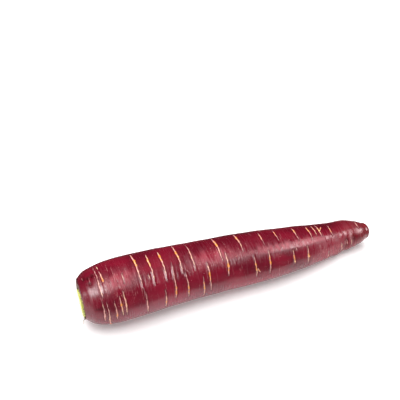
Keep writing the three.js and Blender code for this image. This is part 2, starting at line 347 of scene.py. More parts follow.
def taproot_shift():
    """What takes a point of the tables to the row frame, in millimetres."""
    low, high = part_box("taproot")
    angles = np.arange(0, 360, 3.0)
    stations = np.linspace(SHOULDER_END, LENGTH, 300)[:, None]
    outline = place(stations, angles, skin_radius(stations) + bumps(SWELLINGS, stations, angles))
    middle = (outline[..., 1].min() + outline[..., 1].max()) / 2
    return np.array([high.x / MM - LENGTH, (low.y + high.y) / 2 / MM - middle, 0.0])


SHIFT = taproot_shift()


def to_row(points):
    """Points of the tables as metres in the row frame."""
    return (points + SHIFT) * MM


def on_skin(stations, angles, scars, lift=0.0):
    """Points on the finished skin, lifted off it by so many millimetres."""
    relief = bumps(SWELLINGS, stations, angles) + bumps(DENTS, stations, angles)
    relief = relief - grooves(scars, stations, angles)
    points = place(stations, angles, skin_radius(stations) + relief + lift)
    points[..., 2] = np.maximum(points[..., 2], 0)
    return to_row(points)


def new_object(name, vertices, faces=(), edges=()):
    mesh = bpy.data.meshes.new(name)
    mesh.from_pydata([tuple(v) for v in vertices], edges, faces)
    mesh.update()
    obj = bpy.data.objects.new(name, mesh)
    bpy.context.scene.collection.objects.link(obj)
    return obj


def new_sheet(name, low, high, height):
    """A flat sheet from its lowest to its highest x and y."""
    corners = [(low[0], low[1]), (high[0], low[1]), (high[0], high[1]), (low[0], high[1])]
    return new_object(name, [(*corner, height) for corner in corners], [(0, 1, 2, 3)])


def set_attributes(obj, **columns):
    """Gives each vertex a number, or three of them, under each name."""
    for name, values in columns.items():
        values = np.asarray(values, np.float32)
        kind, key = ("FLOAT", "value") if values.ndim == 1 else ("FLOAT_VECTOR", "vector")
        obj.data.attributes.new(name, kind, "POINT").data.foreach_set(key, values.ravel())


def ring_faces(start, rings, turns):
    """Quads between neighbouring rings of points, the first point of which has the number start."""
    faces = []
    for low in range(start, start + (rings - 1) * turns, turns):
        high = low + turns
        faces += [(low + c, high + c, high + (c + 1) % turns, low + (c + 1) % turns) for c in range(turns)]
    return faces


def closed_faces(start, rings, turns):
    """The same quads, and a face over the first and the last ring."""
    last = start + (rings - 1) * turns
    ends = [tuple(range(start, start + turns)), tuple(reversed(range(last, last + turns)))]
    return ring_faces(start, rings, turns) + ends


class Value:
    """A node's output. Values are added, taken away and multiplied like numbers."""

    def __init__(self, make, socket):
        self.make = make
        self.socket = socket

    def __add__(self, other):
        return self.make.math("ADD", self, other)

    def __sub__(self, other):
        return self.make.math("SUBTRACT", self, other)

    def __mul__(self, other):
        return self.make.math("MULTIPLY", self, other)


class Maker:
    """Adds nodes to a tree. What a socket is given is a constant or a value."""

    def __init__(self, tree):
        self.tree = tree

    def fill(self, node, inputs):
        """Gives a node's sockets what they are to hold."""
        for name, value in inputs.items():
            if isinstance(value, Value):
                self.tree.links.new(value.socket, node.inputs[name])
            else:
                node.inputs[name].default_value = value

    def add(self, kind, inputs=None, **settings):
        """Adds a node and returns it."""
        node = self.tree.nodes.new(kind)
        for name, value in settings.items():
            setattr(node, name, value)
        self.fill(node, inputs or {})
        return node

    def out(self, kind, inputs=None, output=0, **settings):
        """Adds a node and returns one of its outputs."""
        return Value(self, self.add(kind, inputs, **settings).outputs[output])

    def math(self, operation, first, second=0.0, clamp=False):
        return self.out("ShaderNodeMath", {0: first, 1: second}, operation=operation, use_clamp=clamp)

    def clamp(self, value):
        return self.math("ADD", value, clamp=True)

    def vector(self, x, y, z):
        return self.out("ShaderNodeCombineXYZ", {0: x, 1: y, 2: z})

    def parts(self, vector):
        """The three numbers of a vector."""
        return [Value(self, part) for part in self.add("ShaderNodeSeparateXYZ", {0: vector}).outputs]

    def scaled(self, vector, factor):
        return self.out("ShaderNodeVectorMath", {0: vector, "Scale": factor}, operation="SCALE")

    def span(self, value, low, high, to_low=0.0, to_high=1.0):
        """A smooth change from to_low to to_high as value goes from low to high."""
        sockets = {"Value": value, "From Min": low, "From Max": high, "To Min": to_low, "To Max": to_high}
        return self.out("ShaderNodeMapRange", sockets, interpolation_type="SMOOTHSTEP")

    def blend(self, factor, first, second):
        """The first colour, or the second one where factor is 1."""
        return self.out("ShaderNodeMix", {0: factor, 6: first, 7: second}, 2, data_type="RGBA")

    def layers(self, colour, coats):
        """Lays coats over a colour. Each coat is how much of it shows and its own colour."""
        for share, tone in coats:
            colour = self.blend(share, colour, tone)
        return colour

    def noise(self, vector, along, around, detail=2.0, roughness=0.5, seed=0.0):
        """Noise with so many waves to a unit of length along the root, and so many round it."""
        waves = {0: vector, 1: (along, around, around)}
        scaled = self.out("ShaderNodeVectorMath", waves, operation="MULTIPLY")
        return self.noise_at(scaled, seed, detail, roughness)

    def noise_at(self, vector, seed, detail, roughness):
        sockets = {"Vector": vector, "W": seed, "Scale": 1.0, "Detail": detail, "Roughness": roughness}
        return self.out("ShaderNodeTexNoise", sockets, noise_dimensions="4D")

    def dots(self, vector, per_mm, blur, largest):
        """Scattered dots, so many to a millimetre each way, with radii up to a share of their spacing."""
        cells = self.add("ShaderNodeTexVoronoi", {"Vector": vector, "Scale": per_mm}).outputs
        drawn = self.out("ShaderNodeSeparateColor", {0: Value(self, cells["Color"])})
        size = self.span(drawn, 0.3, 1, 0, largest)
        return self.span(size - Value(self, cells["Distance"]), -0.5 * blur, 0.5 * blur)

    def read(self, name, output="Fac"):
        """An attribute of the piece, in a material."""
        return self.out("ShaderNodeAttribute", output=output, attribute_name=name)

    def named(self, name, kind="FLOAT"):
        """An attribute of the piece, in a geometry tree."""
        return self.out("GeometryNodeInputNamedAttribute", {"Name": name}, data_type=kind)

    def here(self):
        """The place in the piece's own frame, in metres."""
        return self.out("ShaderNodeTexCoord", output="Object")

    def random(self, low, high, seed):
        return self.out("FunctionNodeRandomValue", {2: low, 3: high, "Seed": seed}, 1, data_type="FLOAT")

    def on_points(self, points, form, rotation, scale):
        """A copy of a form on each point."""
        sockets = {"Points": points, "Instance": form, "Rotation": rotation, "Scale": scale}
        return self.out("GeometryNodeInstanceOnPoints", sockets)

    def bump(self, height, depth_mm, strength):
        """The normal of a surface with a fine relief."""
        return self.out("ShaderNodeBump", {"Height": height, "Distance": depth_mm * MM, "Strength": strength})

    def paint(self, inputs):
        """Gives the sockets of a material's surface shader what they are to hold."""
        self.fill(self.tree.nodes["Principled BSDF"], inputs)


def new_material(name):
    """A material and its maker."""
    material = bpy.data.materials.new(name)
    material.use_nodes = True
    return material, Maker(material.node_tree)


def new_tree(name, inputs):
    """The maker of a geometry node tree with named inputs, and the values that they hold."""
    tree = bpy.data.node_groups.new(name, "GeometryNodeTree")
    for label, kind, value in (("Geometry", "Geometry", None), *inputs, ("Material", "Material", None)):
        socket = tree.interface.new_socket(label, in_out="INPUT", socket_type="NodeSocket" + kind)
        if value is not None:
            socket.default_value = value
    tree.interface.new_socket("Geometry", in_out="OUTPUT", socket_type="NodeSocketGeometry")
    make = Maker(tree)
    return make, {socket.name: Value(make, socket) for socket in make.add("NodeGroupInput").outputs}


def end_tree(make, geometry, given):
    """Ends a tree in real geometry above the floor, with smooth faces and the material it was given."""
    real = make.out("GeometryNodeRealizeInstances", {0: geometry})
    x, y, z = make.parts(make.out("GeometryNodeInputPosition"))
    above = make.vector(x, y, make.math("MAXIMUM", z))
    rested = make.out("GeometryNodeSetPosition", {0: real, "Position": above})
    smooth = make.out("GeometryNodeSetShadeSmooth", {0: rested})
    make.add("NodeGroupOutput", {
        0: make.out("GeometryNodeSetMaterial", {0: smooth, "Material": given["Material"]}),
    })
    return make.tree


def run_tree(obj, tree, values):
    """Runs a tree on an object and leaves the result as its plain mesh."""
    modifier = obj.modifiers.new(tree.name, "NODES")
    modifier.node_group = tree
    for item in tree.interface.items_tree:
        if item.in_out == "INPUT" and item.name in values:
            modifier[item.identifier] = values[item.name]
    graph = bpy.context.evaluated_depsgraph_get()
    finished = obj.evaluated_get(graph)
    made = bpy.data.meshes.new_from_object(finished, preserve_all_data_layers=True, depsgraph=graph)
    obj.modifiers.remove(modifier)
    obj.data = made


def ridged_skin_tree():
    """Raises fine ridges and soft lumps on the skin."""
    make, given = new_tree("Ridged skin", [
        ("Ridge Height", "Float", 0.1), ("Ridge Spacing", "Float", 3.0), ("Lump Height", "Float", 0.2),
        ("Seed", "Float", 0.0),
    ])
    grown = make.named("grown", "FLOAT_VECTOR")
    spacing = make.vector(given["Ridge Spacing"], RIDGE_LENGTH, RIDGE_LENGTH)
    stretched = make.out("ShaderNodeVectorMath", {0: grown, 1: spacing}, operation="DIVIDE")
    ridges = make.noise_at(stretched, given["Seed"], 2, 0.5)
    lumps = make.noise(grown, 0.07, 0.09, 1, 0.5, given["Seed"])
    lift = (ridges - 0.5) * given["Ridge Height"] + (lumps - 0.5) * given["Lump Height"]
    metres = lift * make.named("calm") * (2 * MM)
    offset = make.scaled(make.out("GeometryNodeInputNormal"), metres)
    raised = make.out("GeometryNodeSetPosition", {0: given["Geometry"], "Offset": offset})
    return end_tree(make, raised, given)


def scar_tree():
    """Sweeps a round section along each line, as thick as the line's own half width says."""
    make, given = new_tree("Growth scars", [("Thickness", "Float", 1.25), ("Sides", "Int", 8)])
    lines = make.out("GeometryNodeMeshToCurve", {0: given["Geometry"]})
    section = make.out("GeometryNodeCurvePrimitiveCircle", {0: given["Sides"], "Radius": MM})
    scale = make.named("half_width") * given["Thickness"]
    sockets = {"Curve": lines, "Profile Curve": section, "Scale": scale, "Fill Caps": True}
    return end_tree(make, make.out("GeometryNodeCurveToMesh", sockets), given)


def bead_tree():
    """Puts a flattened bead on each point, as large as the point's own size says."""
    make, given = new_tree("Beads", [("Flatness", "Float", 0.5), ("Roundness", "Int", 2)])
    bead = make.out("GeometryNodeMeshIcoSphere", {"Radius": MM, "Subdivisions": given["Roundness"]})
    outward = make.named("outward", "FLOAT_VECTOR")
    aligned = make.out("FunctionNodeAlignRotationToVector", {"Vector": outward}, axis="Z")
    scale = make.scaled(make.vector(1.0, 1.0, given["Flatness"]), make.named("size"))
    return end_tree(make, make.on_points(given["Geometry"], bead, aligned, scale), given)


def torn_scale_tree():
    """Stands a pointed flake on each point, with its back to the point's outward direction."""
    make, given = new_tree("Torn scales", [
        ("Width", "Float", 0.75), ("Height", "Float", 0.85), ("Lean", "Float", 0.35), ("Seed", "Int", 0),
    ])
    sockets = {"Vertices": 5, "Side Segments": 3, "Radius Top": 0.04 * MM, "Radius Bottom": MM, "Depth": MM}
    flake = make.out("GeometryNodeMeshCone", sockets)
    align = "FunctionNodeAlignRotationToVector"
    upright = make.out(align, {"Vector": (-1.0, 0.0, 0.0)}, axis="Z")
    sockets = {"Rotation": upright, "Vector": make.named("outward", "FLOAT_VECTOR")}
    turned = make.out(align, sockets, axis="X", pivot_axis="Z")
    seed, lean = given["Seed"], given["Lean"]
    size = make.random(0.55, 1.25, seed)
    scale = make.vector(FLAKE_THICKNESS, given["Width"] * size, given["Height"] * size)
    flakes = make.on_points(given["Geometry"], flake, turned, scale)
    tilt = make.random(lean * -0.4, lean, seed + 1.0)
    twist = make.random(-0.3, 0.3, seed)
    sockets = {0: flakes, "Rotation": make.vector(twist, tilt, twist), "Local Space": True}
    return end_tree(make, make.out("GeometryNodeRotateInstances", sockets), given)


def skin_material(tones):
    """Glossy purple-red skin with fine ridges, scars and a corky crown."""
    material, make = new_material("carrot_skin")
    grown = make.read("grown", "Vector")
    cork, scuff_and_highlight = make.read("cork"), make.read("scuff_and_highlight")
    streaks = make.noise(grown, 0.6, 0.09, 3, 0.65, 2)
    threads = make.noise(grown, 2.6, 0.16, 3, 0.6, 9)
    grain = make.noise(grown, 1.9, 1.3, 3, 0.6, 3)
    cracks = make.noise(grown, 1.6, 0.7, 5, 0.7, 6)
    scars, in_scar = scar_coats(make, tones, grown)
    in_cork = make.span(cork + (cracks - 0.5) * 0.9, 0.3, 0.75) * make.span(cork, 0, 0.2)
    colour = make.layers(tones.dark, [
        *skin_coats(make, tones, grown, scuff_and_highlight, streaks, threads, grain),
        (hairlines(make, grown), tones.scar_pale),
        *scars,
        (in_cork, make.blend(make.span(cracks, 0.4, 0.62), tones.cork_dark, tones.cork)),
    ])
    gloss = make.span(streaks, 0.38, 0.62, 0.2, make.span(scuff_and_highlight, 0, 0.6, 0.26, 0.6))
    gloss = gloss + make.span(threads, 0.4, 0.7, 0, 0.04) + in_scar * 0.2 + in_cork * 0.35
    height = streaks * make.span(scuff_and_highlight, 0, 0.6, 0.15, 3) + threads * make.span(scuff_and_highlight, 0, 0.6, 0.08, 0.9)
    height = height + grain * 0.3 + cracks * in_cork * 2.5 - in_scar * 0.3
    make.paint({
        "Base Color": colour, "Roughness": make.clamp(gloss), "Normal": make.bump(height, 0.2, 0.9),
        "Coat Weight": 0.06, "Coat Roughness": 0.25, "IOR": 1.37,
    })
    return material


def skin_coats(make, tones, grown, scuff_and_highlight, streaks, threads, grain):
    """The skin's colours: patches, streaks of dust where it is scuffed, dots and a browner tip, with painted
    shade towards the crown, in pits and creases and along the back, a painted highlight along the band where
    the overhead panels reflect, and painted light from the floor low on both sides.
    """
    station, dark = make.parts(grown)[0], make.read("dark")
    patches = make.noise(grown, 0.05, 0.07, 3, 0.5, 1)
    bloom_and_sheen = make.noise(grown, 0.09, 0.07, 3, 0.6, 4)
    brown_spots = make.noise(grown, 0.5, 0.5, 3, 0.7, 5)
    dust_and_highlight = make.span(bloom_and_sheen, 0.3, 0.55, 0.35, 1) * scuff_and_highlight
    dots = make.dots(grown, 0.95, 0.2, 0.34) * make.clamp(dust_and_highlight + 0.1)
    return [
        (make.span(patches, 0.36, 0.6), tones.middle),
        (make.span(patches, 0.56, 0.8, 0, 0.7), tones.bright),
        # Pinker skin and pale streaks where scuffed; along the band where the overhead panels reflect, they
        # are also a painted highlight.
        (make.span(scuff_and_highlight, 0.3, 0.9) * make.span(streaks, 0.4, 0.6, 0.35, 1), tones.rubbed_and_highlight),
        (make.span(streaks, 0.48, 0.66, 0, 0.42) * dust_and_highlight, tones.bloom_and_sheen),
        # Painted shade: darker towards the crown.
        (make.span(station, 26, 5, 0, 0.4), tones.dark),
        (make.span(threads, 0.54, 0.68, 0, 0.45) * dust_and_highlight, tones.bloom_and_sheen),
        (dots * make.span(grain, 0.4, 0.62, 0.2, 0.9), tones.dot),
        (make.span(station, 150, 184, 0, 0.55), tones.tip),
        (make.span(brown_spots, 0.55, 0.72) * make.span(station, 158, 180, 0.04, 0.85), tones.brown),
        # Painted shade in the pits and creases by the crown, along the back and in the fold before the tip.
        (make.math("MAXIMUM", dark) * make.span(grain, 0.3, 0.6, 0.75, 1.1), tones.painted_shade),
        # Painted light from the floor: a mauve mist low on both sides, where the marks are below zero.
        (make.span(dark, -0.05, -1, 0, 0.6), tones.bloom_and_sheen),
    ]


def hairlines(make, grown):
    """How much of the hairlines shows at each point."""
    across, half, _ = make.parts(make.read("hair", "Vector"))
    wobble = make.noise(grown, 0.5, 0.5, 2, 0.6, 10)
    broken = make.noise(grown, 0.3, 0.5, 2, 0.6, 11)
    edge = half - make.math("ABSOLUTE", across + (wobble - 0.5) * 0.4)
    line = make.span(edge, -0.12, 0.06) * make.span(half, 0.01, 0.05)
    return line * make.span(broken, 0.4, 0.66, 0.03, 0.4)


def scar_coats(make, tones, grown):
    """The colours of the scars in the skin, and where the scars are."""
    across, half, warmth = make.parts(make.read("scar", "Vector"))
    wobble = make.noise(grown, 0.9, 0.9, 3, 0.6, 7)
    frayed = make.noise(grown, 0.6, 0.7, 3, 0.65, 8)
    shifted = across + (wobble - 0.5) * 0.35
    past = make.math("ABSOLUTE", shifted) - half * make.span(frayed, 0.25, 0.7, 0.55, 1.05)
    there = make.span(half, 0.01, 0.05)
    inside = make.span(past, -0.12, 0.1, 1, 0) * there
    wide = make.span(past, 0.05, 0.35, 0.9, 0) * make.span(half, 0.12, 0.3)
    heat = make.clamp(warmth + (frayed - 0.5) * 0.7)
    return [
        # Painted shade beside each scar, where its groove dips.
        (make.span(past, 0.1, 1, 0.75, 0) * there, tones.scar_shade),
        (wide * make.span(shifted, -0.1, 0.25, 0.35, 1), tones.fringe),
        (inside * make.span(half, 0.03, 0.25, 0.5, 1),
         make.blend(make.span(heat, 0.35, 0.85), tones.scar_pale, tones.scar_orange)),
    ], inside


def scar_material(tones):
    """Corky tissue: orange where a scar is wide, paler towards its ends and its middle line."""
    material, make = new_material("scar_cork")
    mottle = make.noise(make.here(), 900, 900, 3, 0.6, 1)
    stretches = make.noise(make.here(), 330, 330, 3, 0.7, 2)
    heat = make.clamp(make.read("warmth") + (mottle - 0.5) * 0.9)
    colour = make.layers(tones.scar_pale, [
        (make.span(heat, 0.35, 0.85), tones.scar_orange),
        (make.span(stretches, 0.46, 0.62, 0, 0.8), tones.scar_cream),
        (make.span(mottle, 0.4, 0.3, 0, 0.7), tones.fringe),
    ])
    make.paint({"Base Color": colour, "Roughness": 0.5, "Normal": make.bump(mottle, 0.1, 0.5)})
    return material


def stalk_material(tones):
    """Freshly cut stalk tissue: lemon green, olive at the edge of each base, with fine fibres."""
    material, make = new_material("cut_stalk")
    fibres = make.noise(make.here(), 250, 1500, 3, 0.6, 1)
    clouds = make.noise(make.here(), 350, 350, 3, 0.6, 2)
    colour = make.layers(tones.young, [
        (make.read("age"), tones.old),
        (make.span(clouds, 0.4, 0.7, 0, 0.5), tones.pith),
        (make.span(make.read("edge"), 0.55, 0.95, 0, 0.8), tones.rind),
        (make.span(fibres, 0.5, 0.7, 0, 0.25), tones.rind),
        (make.read("worn") * make.span(clouds, 0.3, 0.6, 0.6, 1), tones.worn),
    ])
    make.paint({
        "Base Color": colour, "Roughness": 0.42, "Normal": make.bump(fibres + clouds * 0.6, 0.15, 0.6),
        "Subsurface Weight": 0.15, "Subsurface Scale": 1.0,
        "Subsurface Radius": (0.8 * MM, 0.8 * MM, 0.3 * MM),
    })
    return material


def plain_tissue_material(name, dark, light, roughness):
    """Mottled tissue between two colours, for small trim."""
    material, make = new_material(name)
    mottle = make.noise(make.here(), 700, 700, 3, 0.6, 1)
    colour = make.blend(make.span(mottle, 0.35, 0.65), dark, light)
    make.paint({"Base Color": colour, "Roughness": roughness, "Normal": make.bump(mottle, 0.1, 0.5)})
    return material


def floor_material(colour):
    """A pale floor that shines by itself more and more towards the walls."""
    material, make = new_material("pale_floor")
    mottle = make.noise(make.here(), 3, 3, 2, 0.5, 1)
    shade = (*(0.97 * part for part in colour[:3]), 1.0)
    far = make.out("ShaderNodeVectorMath", {0: make.here()}, 1, operation="LENGTH")
    make.paint({
        "Base Color": make.blend(make.span(mottle, 0.3, 0.7), shade, colour), "Roughness": 0.6,
        "Emission Color": (1, 1, 1, 1), "Emission Strength": make.span(far, 0.5, 1.8, 0.26, 1),
    })
    return material


def pit_profile(steps):
    """Stations and radii from the pit's floor over the rim to the shoulder, rounded at the corners."""
    rows = [[i, *row] for i, row in enumerate(PIT)]
    at = np.linspace(0, len(PIT) - 1, steps)
    return follow(rows, 1, at), follow(rows, 2, at)


def build_taproot(root):
    """The root's skin, from the pit of its crown to its tip."""
    angles = (np.arange(root.turns) * 360 / root.turns - 90)[None, :]
    scars, _ = all_scars()
    stations, radii = pit_profile(root.pit_rings)
    stations, radii = stations[:, None], radii[:, None]
    wave = sum(height * np.sin(np.radians(number * angles + start)) for height, number, start in RIM_WAVES)
    at_rim = np.exp(-(((radii - PIT_RIM_RADIUS) / 0.9) ** 2))
    off_centre = 1 - smooth_step(PIT_RIM_RADIUS - 0.5, 12, radii)
    pit = place(stations + 0.9 * wave * at_rim, angles, radii + wave * at_rim, off_centre)
    pit_cork = np.broadcast_to(1 - smooth_step(PIT_RIM_RADIUS, CORK_RADIUS, radii), pit.shape[:2])

    body_stations = np.linspace(SHOULDER_END, TIP_START, root.rings)[1:, None]
    tip_turns = np.radians(np.linspace(0, 90, TIP_RINGS + 2)[1:-1])[:, None]
    tip_stations = TIP_START + (LENGTH - TIP_START) * np.sin(tip_turns)
    skin_stations = np.concatenate([body_stations, tip_stations])
    body = on_skin(skin_stations, angles, scars)

    points = np.concatenate([to_row(pit).reshape(-1, 3), body.reshape(-1, 3)])
    ends = to_row(np.array([place(PIT_FLOOR, 0, 0, 1), place(LENGTH, 0, 0)]))
    rows = len(stations) + len(skin_stations)
    faces = ring_faces(0, rows, root.turns)
    floor_middle, tip = len(points), len(points) + 1
    last = (rows - 1) * root.turns
    for c in range(root.turns):
        n = (c + 1) % root.turns
        faces.append((floor_middle, c, n))
        faces.append((tip, last + n, last + c))
    obj = new_object("taproot_skin", np.concatenate([points, ends]), faces)
    mark_skin(obj, stations, radii, pit_cork, skin_stations, angles)
    return obj


def mark_skin(obj, pit_stations, pit_radii, pit_cork, skin_stations, angles):
    """Gives each point of the skin its place on the root, the scar beside it, its cork and its calm."""
    stations = np.concatenate([pit_stations, skin_stations])
    radii = np.concatenate([pit_radii, skin_radius(skin_stations)])
    turn = np.radians(angles)
    grown = np.stack(np.broadcast_arrays(stations, radii * np.cos(turn), radii * np.sin(turn)), -1)
    for name, scars, reach, ring_gap in zip(("scar", "hair"), all_scars(), (1.6, 0.7), (0.4, 0.35)):
        marks = np.tile([NO_SCAR, 0, 0], (*grown.shape[:2], 1))
        marks[len(pit_stations):] = paint_scars(scars, skin_stations, angles, reach, ring_gap)
        set_attributes(obj, **{name: np.concatenate([marks.reshape(-1, 3), 2 * [[NO_SCAR, 0, 0]]])})
    near_rim = smooth_step(1.5, 6, stations) * (radii > PIT_RIM_RADIUS)
    calm = np.where(stations > TIP_START, smooth_step(LENGTH, TIP_START - 4, stations), near_rim)
    cork = np.zeros(grown.shape[:2])
    cork[:len(pit_stations)] = pit_cork
    columns = {
        "cork": (cork, 1, 0), "calm": (calm, 0, 0),
        # Scuffed places, and the painted highlight along the band where the overhead panels reflect.
        "scuff_and_highlight": (np.clip(bumps(SCUFFS_AND_HIGHLIGHTS, stations, angles), 0, 1), 0, 0.5),
        # Painted shade where this is above zero, painted light from the floor where it is below.
        "dark": (np.clip(bumps(PAINTED_SHADE_AND_LIGHT, stations, angles), -1, 1), 0, 0),
    }
    for name, (values, at_pit, at_tip) in columns.items():
        spread = np.broadcast_to(values, grown.shape[:2]).ravel()
        set_attributes(obj, **{name: np.concatenate([spread, [at_pit, at_tip]])})
    set_attributes(obj, grown=np.concatenate([grown.reshape(-1, 3), [[PIT_FLOOR, 0, 0], [LENGTH, 0, 0]]]))


def outward_of(turns):
    """Directions away from the root's middle line, for turns in radians."""
    return np.stack([0 * turns, -np.cos(turns), np.sin(turns)], -1)


def scar_lines(scars, least_half_width):
    """Lines along the grooves of the scars, with the half width and the warmth of each point."""
    points, edges, widths, warmths = [], [], [], []
    for scar in scars:
        _, high, low, _, half, warmth, _ = scar
        angles = np.linspace(low, high, max(int((high - low) / 1.2), 8))
        stations, share = scar_course(scar, angles)
        kept = half * share > least_half_width
        if kept.sum() < 4:
            continue
        stations, angles, share = stations[kept], angles[kept], share[kept]
        joined = np.diff(angles) < 2
        edges += [(len(points) + k, len(points) + k + 1) for k in range(len(angles) - 1) if joined[k]]
        points += list(on_skin(stations, angles, scars, -STRIP_SUNK * half * share))
        widths += list(half * share)
        warmths += list(warmth * smooth_step(0.5, 0.95, share))
    return points, edges, widths, warmths


def build_scars(sizes):
    """Corky strips that fill the grooves of the wider scars."""
    scars, _ = all_scars()
    points, edges, widths, warmths = scar_lines(scars, sizes.least_half_width / MM)
    obj = new_object("growth_scars", points, edges=edges)
    set_attributes(obj, half_width=widths, warmth=warmths)
    return obj


def build_specks(sizes):
    """Points for the knots in the scars and for small corky specks all over the skin."""
    scars, _ = all_scars()
    draw = draws(sizes.seed)
    rows = list(KNOTS)
    for _ in range(sizes.count):
        station, angle = 8 + 172 * next(draw), 360 * next(draw)
        rows.append([station, angle, 0.07 + 0.13 * next(draw) ** 2, 0.6 * next(draw)])
    table = np.array(rows)
    points = on_skin(table[:, 0], table[:, 1], scars, -SPECK_SUNK * table[:, 2])
    obj = new_object("corky_specks", points)
    set_attributes(obj, size=table[:, 2], warmth=table[:, 3], outward=outward_of(np.radians(table[:, 1])))
    return obj


def crown_middle():
    """The middle of the pit's floor."""
    return place(np.array(PIT_FLOOR), 0, 0, 1)


def in_crown(turns, out, above_floor):
    """Points in the crown: turns in radians round its middle, distance out, and height above its floor."""
    centre = crown_middle()
    x = centre[0] - above_floor
    y = centre[1] - out * np.cos(turns)
    z = centre[2] + out * np.sin(turns)
    return np.stack(np.broadcast_arrays(x, y, z), -1)


def cut_height(turns, out, height):
    """Height of the leaning cut over a point of the crown, for a base that is so high where it is highest."""
    back = SLEEVE_RADIUS - out * np.cos(turns - math.radians(CUT_TOWARDS))
    return height - CUT_SLOPE * back


def stalk_base(turn, out, half_span, thick, height):
    """The points of one crescent, in rings from end to end. Each goes from the outer foot over the cut."""
    outer_half = [(1, 0), (1, 0.86), (0.94, 0.95), (0.72, 0.995), (0.25, 1.01)]
    section = outer_half + [(-side, rise) for side, rise in reversed(outer_half)]
    along = -np.cos(np.linspace(0.02, math.pi - 0.02, STALK_POINTS))
    turns = math.radians(turn) + math.radians(half_span) * along
    rows, edges = [], []
    for side, rise in section:
        ripple = 0.05 * np.sin(9 * turns + 2 * out)
        at = np.minimum(out + side * (thick / 2) * np.sqrt(1 - along**2) + ripple, SLEEVE_RADIUS)
        at = np.where(rise == 0, np.minimum(at, SLEEVE_RADIUS - 0.55), at)
        rows.append(in_crown(turns, at, FOOT_GAP + rise * cut_height(turns, at, height)))
        edges.append(np.maximum(np.abs(side) ** 2, np.abs(along) ** 6) * (rise > 0) + (rise == 0))
    return np.array(rows).transpose(1, 0, 2), np.array(edges).T


def build_stalks():
    """The cut bases of the leaf stalks, with the tissue between them."""
    draw = draws(3)
    points, faces, edges, ages, beads = [], [], [], [], []
    for k in range(STALK_COUNT):
        inward = k / (STALK_COUNT - 1)
        out, half_span, thick = (a + (b - a) * inward for a, b in (STALK_OUT, STALK_HALF_SPAN, STALK_THICK))
        height = STALK_HEIGHT - STALK_UNEVENNESS * next(draw)
        turn = 180 - STALK_TURN * k
        grid, edge = stalk_base(turn, out, half_span, thick, height)
        start = len(points)
        points += list(grid.reshape(-1, 3))
        edges += list(edge.ravel())
        ages += [0.15 + 0.7 * next(draw)] * edge.size
        faces += closed_faces(start, *edge.shape)
        beads += strand_rows(turn, out, half_span, height)
    add_heart(points, faces, edges, ages)
    obj = new_object("leaf_stalk_cut", to_row(np.array(points)), faces)
    low = crown_middle()[2] - np.array(points)[:, 2]
    set_attributes(obj, edge=edges, age=ages, worn=smooth_step(*WORN_BELOW, low))
    for polygon in obj.data.polygons:
        polygon.use_smooth = True
    return obj, beads


def add_heart(points, faces, edges, ages):
    """The tissue that shows between the bases, a little below the cut, and the bud in the middle."""
    turns = np.linspace(2 * math.pi, 0, 48, endpoint=False)
    rings = [(HEART_RADIUS - 0.4, 0.0), (HEART_RADIUS, 0.5), (HEART_RADIUS, 0.97), (HEART_RADIUS - 0.3, 1.0),
             (5, 1.0), (2.5, 1.0), (1.1, 1.0), (0.8, 1.17), (0.4, 1.2), (0.02, 1.2)]
    start = len(points)
    for radius, rise in rings:
        top = cut_height(turns, radius, STALK_HEIGHT - HEART_DEPTH)
        points += list(in_crown(turns, radius, FOOT_GAP + rise * top))
        edges += [0.75] * len(turns)
        ages += [0.9] * len(turns)
    faces += closed_faces(start, len(rings), len(turns))


def strand_rows(turn, out, half_span, height):
    """A row of vascular strands along the middle of a base: their places and sizes."""
    count = max(int(half_span * out / 55), 2)
    along = np.linspace(-0.68, 0.68, count)
    turns = math.radians(turn) + math.radians(half_span) * along
    places = in_crown(turns, out, 0.34 + 1.01 * cut_height(turns, out, height))
    return [(to_row(p), 0.16 + 0.05 * math.cos(5 * i)) for i, p in enumerate(places)]


def build_strands(beads):
    obj = new_object("stalk_strands", [b[0] for b in beads])
    set_attributes(obj, size=[b[1] for b in beads], outward=[(-1, 0, 0)] * len(beads))
    return obj


def build_torn_scales():
    """Points round the foot of the stalks, where the scales of older leaves tore off."""
    draw = draws(11)
    turns = np.array([2 * math.pi * (k + 0.9 * next(draw)) / TORN_SCALES for k in range(TORN_SCALES)])
    radius, waves = SCALE_RING
    obj = new_object("torn_scales", to_row(in_crown(turns, radius + waves * np.sin(5 * turns), SCALE_FOOT)))
    set_attributes(obj, outward=outward_of(turns))
    return obj


def build_crown_fibre():
    """One dried fibre that curls out of the pit, under the stalks."""
    turn = math.radians(FIBRE_TURN)
    points = np.array([in_crown(turn + 0.04 * i, out, up) for i, (out, up, _) in enumerate(FIBRE)])
    obj = new_object("crown_fibre", to_row(points), edges=[(i, i + 1) for i in range(len(FIBRE) - 1)])
    set_attributes(obj, half_width=[row[2] for row in FIBRE])
    return obj


def finish_piece(obj):
    """A finished piece rides on the root body."""
    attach(obj, "root")


def colour_property(name, description, default):
    return FloatVectorProperty(name=name, description=description, default=(*default, 1.0), subtype="COLOR",
                               size=4, min=0, max=1)


def count_property(name, description, default, least):
    return IntProperty(name=name, description=description, default=default, min=least)


def number_property(name, description, default, **kind):
    return FloatProperty(name=name, description=description, default=default, **kind)


def length_property(name, description, millimetres):
    return number_property(name, description, millimetres * MM, unit="LENGTH")


def angle_property(name, description, degrees):
    return number_property(name, description, math.radians(degrees), subtype="ANGLE")


class RootSettings(bpy.types.PropertyGroup):
    """Mesh and relief of the taproot."""

    rings: count_property("Rings", "Rings of points along the skin", 600, 100)
    turns: count_property("Turns", "Points round each ring", 150, 24)
    pit_rings: count_property("Pit rings", "Rings of points in the crown's pit", 30, 9)
    ridge_height: length_property("Ridge height", "Height of the fine ridges round the root", 0.035)
    ridge_spacing: length_property("Ridge spacing", "Distance between ridges along the root", 2.1)
    lump_height: length_property("Lump height", "Height of the soft unevenness of the skin", 0.3)
    seed: number_property("Seed", "Changes where the ridges and lumps are", 4.0)


